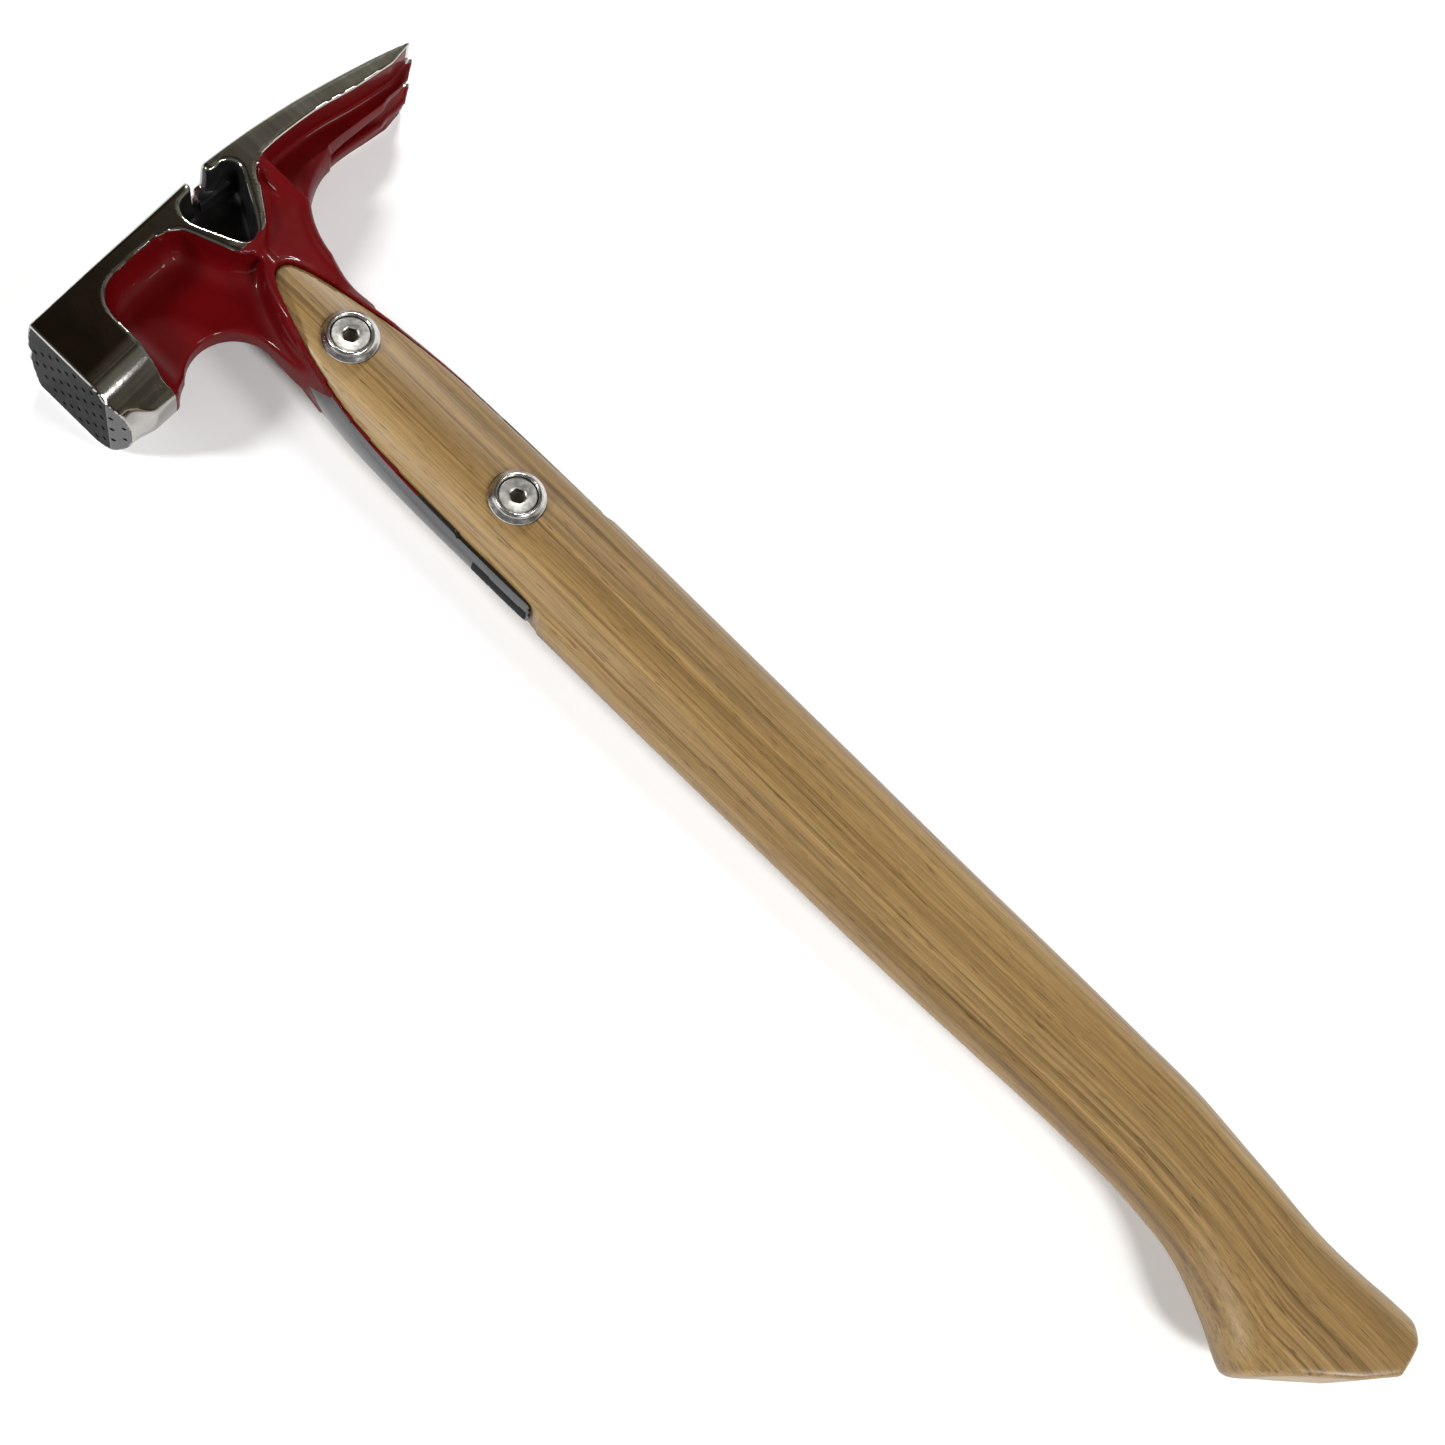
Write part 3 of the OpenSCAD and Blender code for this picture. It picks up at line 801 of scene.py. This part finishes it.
def shade_from_field(mesh, field):
    """Takes each corner's normal from the field's slope where that is close to the mesh's own normal."""
    x, y, z = vertex_places(mesh)
    h = 0.04
    slope = np.stack([field(x + h, y, z) - field(x - h, y, z),
                      field(x, y + h, z) - field(x, y - h, z),
                      field(x, y, z + h) - field(x, y, z - h)], axis=1)
    slope /= np.maximum(np.linalg.norm(slope, axis=1), 1e-9)[:, None]
    own = np.empty(len(mesh.loops) * 3)
    mesh.corner_normals.foreach_get("vector", own)
    own = own.reshape(-1, 3)
    corner = np.empty(len(mesh.loops), dtype=np.int32)
    mesh.loops.foreach_get("vertex_index", corner)
    fresh = slope[corner]
    close = (fresh * own).sum(axis=1) > math.cos(math.radians(16))
    mesh.normals_split_custom_set(np.where(close[:, None], fresh, own).tolist())


HEAD_MATERIALS = (POLISHED, ENAMEL, POCKET_BLACK, FACE, BEVEL, BAND, PIT, STRAP_STEEL)


def paint_head(mesh):
    """Gives each face of the head its material; what no mask takes is polished."""
    set_materials(mesh, HEAD_MATERIALS)
    centres = face_vectors(mesh, "center")
    normals = face_vectors(mesh, "normal")
    x, y, z = design(centres).T
    side = np.abs(z)
    bare = enamel_level(centres) <= 0
    below = FACE_REACH - np.maximum(HEEL_X - x, 0) * math.tan(HEEL_TILT) - y
    inner = (side < 15.5) & (poll_top(x, y, z) < -1.2) & (poll_under(x, y, z) < -0.5)
    masks = (
        (BAND, bare & (y < 5) & (head_top(x, y, z) < -0.9) & (side > 16)),
        (STRAP_STEEL, bare & (x < 5)),
        (ENAMEL, ~bare),
        # faces inside the pockets and the notch take the near-black colour
        (POCKET_BLACK, pocket_level(centres) > 0),
        (FACE, (normals[:, 1] > 0.97) & (below < 0.25)),
        (BEVEL, (normals[:, 1] > 0.8) & (normals[:, 0] < -0.2) & (below < 0.4) & (x < HEEL_X + 0.5)),
        (PIT, inner & (below > 0.12) & (below < 1.2) & (y > 55)),
    )
    chosen = np.zeros(len(centres), dtype=int)
    for material, mask in masks:
        chosen[mask] = HEAD_MATERIALS.index(material)
    mesh.polygons.foreach_set("material_index", chosen)


points, quads = head_points()
head = add_mesh("hammer_head", placed(points), quads, [])
cut(head, *pits())
split_along(head, enamel_level)
split_along(head, pocket_level)
paint_head(head.data)
shade_smooth(head.data)
head.data.set_sharp_from_angle(angle=math.radians(38))
shade_from_field(head.data, head_field)
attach(head, "root")
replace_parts(head, "head")


# ---------------------------------------------------------------- handle

SEGMENTS = 96
CUT_REACH = 20.0      # cutters end this far from the middle plane, clear of the wood


def circle(at, radii, height):
    """Points round a bolt's axis at one height."""
    turns = 2 * math.pi * np.arange(SEGMENTS) / SEGMENTS
    return np.stack([at + radii * np.cos(turns), radii * np.sin(turns), np.full(SEGMENTS, height)], axis=1)


def ring_faces(i, j):
    """Faces between circles number i and j."""
    return [(i * SEGMENTS + s, i * SEGMENTS + (s + 1) % SEGMENTS,
             j * SEGMENTS + (s + 1) % SEGMENTS, j * SEGMENTS + s) for s in range(SEGMENTS)]


def cylinder(at, radius, low, high):
    points = np.concatenate([circle(at, radius, low), circle(at, radius, high)])
    caps = [range(SEGMENTS), reversed(range(SEGMENTS, 2 * SEGMENTS))]
    return points, caps + ring_faces(1, 0)


def wood_places(mesh):
    """Place in the wood, whose bands follow the handle's edges and less so in the flared butt."""
    x, y, z = vertex_places(mesh)
    front, back = edges(x)
    across = (y - (front + back) / 2) / (front - back) * 37.0
    blend = smooth((-300.0 - x) / 60.0) * 0.35
    return np.stack([x, across * (1 - blend) + y * blend + 0.004 * x, z], axis=1) * MM


points, quads = handle_points()
handle = add_mesh("hickory_handle", placed(points), quads, [])
for _, at in BOLTS:
    cut(handle, *cylinder(at, HOLE_RADIUS, -CUT_REACH, CUT_REACH))
    cut(handle, *cylinder(at, SEAT_RADIUS, SEAT, CUT_REACH))
    cut(handle, *cylinder(at, SEAT_RADIUS, -CUT_REACH, -SEAT))
mesh = handle.data
set_materials(mesh, [WOOD, END_WOOD])
shade_smooth(mesh)
mesh.set_sharp_from_angle(angle=math.radians(45))
store_grain(mesh, wood_places(mesh))
cut_end = (face_vectors(mesh, "normal")[:, 0] < -0.5) & (design(face_vectors(mesh, "center"))[:, 0] < -345)
mesh.polygons.foreach_set("material_index", cut_end.astype(int))
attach(handle, "root")
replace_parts(handle, "handle")


# ---------------------------------------------------------------- fasteners

BOLT_TOP = SEAT + 2.1
SOCKET_HALF = 2.0     # half the hexagon socket's width across its flats
CENTRE_RADIUS = 0.001


def turned(name, rings, at, flip, materials):
    """Piece turned round a bolt's axis from rings of (radii, height), merged where they meet."""
    points = np.concatenate([circle(at, radii, height) for radii, height in rings])
    grain = np.zeros((len(points), 3))
    grain[:, 0] = np.hypot(points[:, 0] - at, points[:, 1]) * MM
    if flip:
        points[:, 2] *= -1
    faces = []
    for i in range(len(rings) - 1):
        faces += ring_faces(i, i + 1)
    piece = add_mesh(name, placed(points), faces, materials)
    store_grain(piece.data, grain)
    fix = bmesh.new()
    fix.from_mesh(piece.data)
    bmesh.ops.remove_doubles(fix, verts=fix.verts, dist=0.01 * MM)
    bmesh.ops.recalc_face_normals(fix, faces=fix.faces)
    fix.to_mesh(piece.data)
    fix.free()
    shade_smooth(piece.data)
    return piece


def washer(name, at, flip):
    """Domed cup washer with a rolled rim."""
    dome = curve([(4.1, 0.1), (4.9, 0.35), (5.25, 0.6), (5.4, 1.4), (5.5, 2.3), (5.75, 2.75), (6.1, 2.8),
                  (6.5, 2.5), (6.9, 1.9), (7.5, 1.2), (7.9, 0.7), (8.0, 0.35), (7.9, 0.05)], 4)
    profile = np.concatenate([dome, [(7.8, 0.0), (4.1, 0.0)], dome[:1]])
    piece = turned(name, [(radius, SEAT + height) for radius, height in profile], at, flip, [WASHER])
    piece.data.set_sharp_from_angle(angle=math.radians(50))
    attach(piece, "root")
    return piece


def hexagon():
    """Radii of a hexagon with flats SOCKET_HALF from its centre."""
    turns = 2 * math.pi * np.arange(SEGMENTS) / SEGMENTS
    return SOCKET_HALF / np.cos((turns + math.pi / 6) % (math.pi / 3) - math.pi / 6)


def bolt_body(name, at, flip, shank, reach, hole):
    """Head with a chamfered hexagon socket on a plain shank; a barrel nut has a hole up its shank."""
    flats = hexagon()
    # socket floor, walls and rim, the head's rounded edge and underside, then the shank
    rings = [(CENTRE_RADIUS, -2.7), (flats * 0.94, -2.4), (flats * 0.985, -2.3), (flats, -0.55),
             (flats * 0.35 + 2.62 * 0.65, -0.22), (2.7, -0.16), (2.95, -0.13), (4.2, -0.02), (4.85, 0.0),
             (5.0, 0.0), (5.12, -0.04), (5.2, -0.15), (5.2, -1.5), (4.9, -1.7), (shank, -3.3)]
    rings = [(radii, BOLT_TOP + height) for radii, height in rings]
    rings += [(shank, reach + 0.4), (shank - 0.4, reach)]
    if hole:
        rings += [(hole, reach), (hole, BOLT_TOP - 5.6), (CENTRE_RADIUS, BOLT_TOP - 5.6)]
    else:
        rings += [(CENTRE_RADIUS, reach)]
    piece = turned(name, rings, at, flip, [BOLT, SOCKET])
    mesh = piece.data
    x, y, z = design(face_vectors(mesh, "center")).T
    height = np.abs(z)
    in_socket = (np.hypot(x - at, y) < 2.25) & (height > BOLT_TOP - 3.0) & (height < BOLT_TOP - 0.5)
    mesh.polygons.foreach_set("material_index", in_socket.astype(int))
    mesh.set_sharp_from_angle(angle=math.radians(28))
    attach(piece, "root")
    return piece


for word, at in BOLTS:
    bolt = bolt_body(word + "_cross_bolt", at, False, 3.0, -6.0, 0.0)
    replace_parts(bolt, word + "_bolt")
    nut = bolt_body(word + "_sleeve_nut", at, True, 4.0, -8.0, 3.05)
    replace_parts(nut, word + "_barrel_nut")
    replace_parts(washer(word + "_bolt_cup", at, False), word + "_bolt_washer")
    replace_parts(washer(word + "_nut_cup", at, True), word + "_nut_washer")

set_materials(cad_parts["nail_magnet"].data, [MAGNET])


# ---------------------------------------------------------------- stage, lights, camera

FLOOR_HALF = 6
corners = [(-FLOOR_HALF, -FLOOR_HALF, 0), (FLOOR_HALF, -FLOOR_HALF, 0),
           (FLOOR_HALF, FLOOR_HALF, 0), (-FLOOR_HALF, FLOOR_HALF, 0)]
floor_material, nodes, links, shader = new_material("pale_paper")
shader.inputs["Roughness"].default_value = 0.9
shader.inputs["Specular IOR Level"].default_value = 0.1
paper = noise(nodes, links, coords(nodes, links), 4.0, 2.0)
paper = ramp(nodes, links, paper, [(0.3, (0.9, 0.9, 0.9)), (0.7, (0.92, 0.92, 0.92))])
links.new(paper, shader.inputs["Base Color"])
floor = add_mesh("floor", corners, [(0, 1, 2, 3)], [floor_material])

# a dim room for the metal to reflect, behind a plain pale background
world = bpy.data.worlds.new("studio")
bpy.context.scene.world = world
world.use_nodes = True
nodes, links = world.node_tree.nodes, world.node_tree.links
direction = nodes.new("ShaderNodeTexCoord").outputs["Generated"]
parts = nodes.new("ShaderNodeSeparateXYZ")
links.new(direction, parts.inputs[0])
towards_face = spread(nodes, links, parts.outputs["Y"], 0.0, 1.0, -1.0, 1.0)
room = ramp(nodes, links, towards_face, [
    (0.15, (0.3, 0.3, 0.28)), (0.28, (0.3, 0.295, 0.26)), (0.335, (0.14, 0.13, 0.1)),
    (0.362, (0.05, 0.037, 0.025)), (0.45, (0.045, 0.038, 0.03)), (0.62, (0.14, 0.14, 0.14)),
    (1.0, (0.22, 0.22, 0.22))])
patches = noise(nodes, links, direction, 3.2, 2.0)
patches = ramp(nodes, links, patches, [(0.38, (0.45, 0.4, 0.35)), (0.6, (1.25, 1.25, 1.25))])
studio = mix(nodes, links, 1.0, room, patches, "MULTIPLY")
seen = nodes.new("ShaderNodeLightPath").outputs["Is Camera Ray"]
links.new(mix(nodes, links, seen, studio, (0.86, 0.86, 0.86)), nodes["Background"].inputs["Color"])
nodes["Background"].inputs["Strength"].default_value = 1.0


def lamp(name, place, aim, size, power):
    data = bpy.data.lights.new(name, "AREA")
    data.shape = "RECTANGLE"
    data.size, data.size_y = size
    data.energy = power
    add_light(name, data, Vector(aim) - Vector(place)).location = place


def add_light(name, data, direction):
    light = bpy.data.objects.new(name, data)
    bpy.context.scene.collection.objects.link(light)
    light.rotation_euler = direction.to_track_quat("-Z", "Y").to_euler()
    return light


lamp("left", (1.5, 1.9, 1.7), (0, 0, 0), (0.5, 0.5), 66.0)
lamp("back", (1.6, -1.9, 1.6), (0.1, 0, 0), (0.6, 0.35), 62.0)
lamp("front", (-2.0, 0.5, 1.6), (0, 0, 0), (0.45, 0.6), 54.0)
sun = bpy.data.lights.new("window", "SUN")
sun.energy = 0.9
sun.angle = math.radians(14)
add_light("window", sun, Vector((0.72, 0.26, -0.68)))

CAMERA_PLACE = (-188.92, 216.91, 546.84)
CAMERA_RIGHT = (-0.7176, -0.6661, 0.2033)
CAMERA_FORWARD = (0.0778, -0.3668, -0.9271)
camera_data = bpy.data.cameras.new("camera")
camera_data.lens = 54.81
camera_data.sensor_width = 36.0
camera = bpy.data.objects.new("camera", camera_data)
bpy.context.scene.collection.objects.link(camera)
forward = Vector(CAMERA_FORWARD).normalized()
up = Vector(CAMERA_RIGHT).normalized().cross(forward).normalized()
right = forward.cross(up).normalized()
camera.matrix_world = Matrix((right, up, -forward)).transposed().to_4x4()
camera.matrix_world.translation = placed([CAMERA_PLACE])[0]
bpy.context.scene.camera = camera
bpy.context.scene.view_settings.view_transform = "Standard"
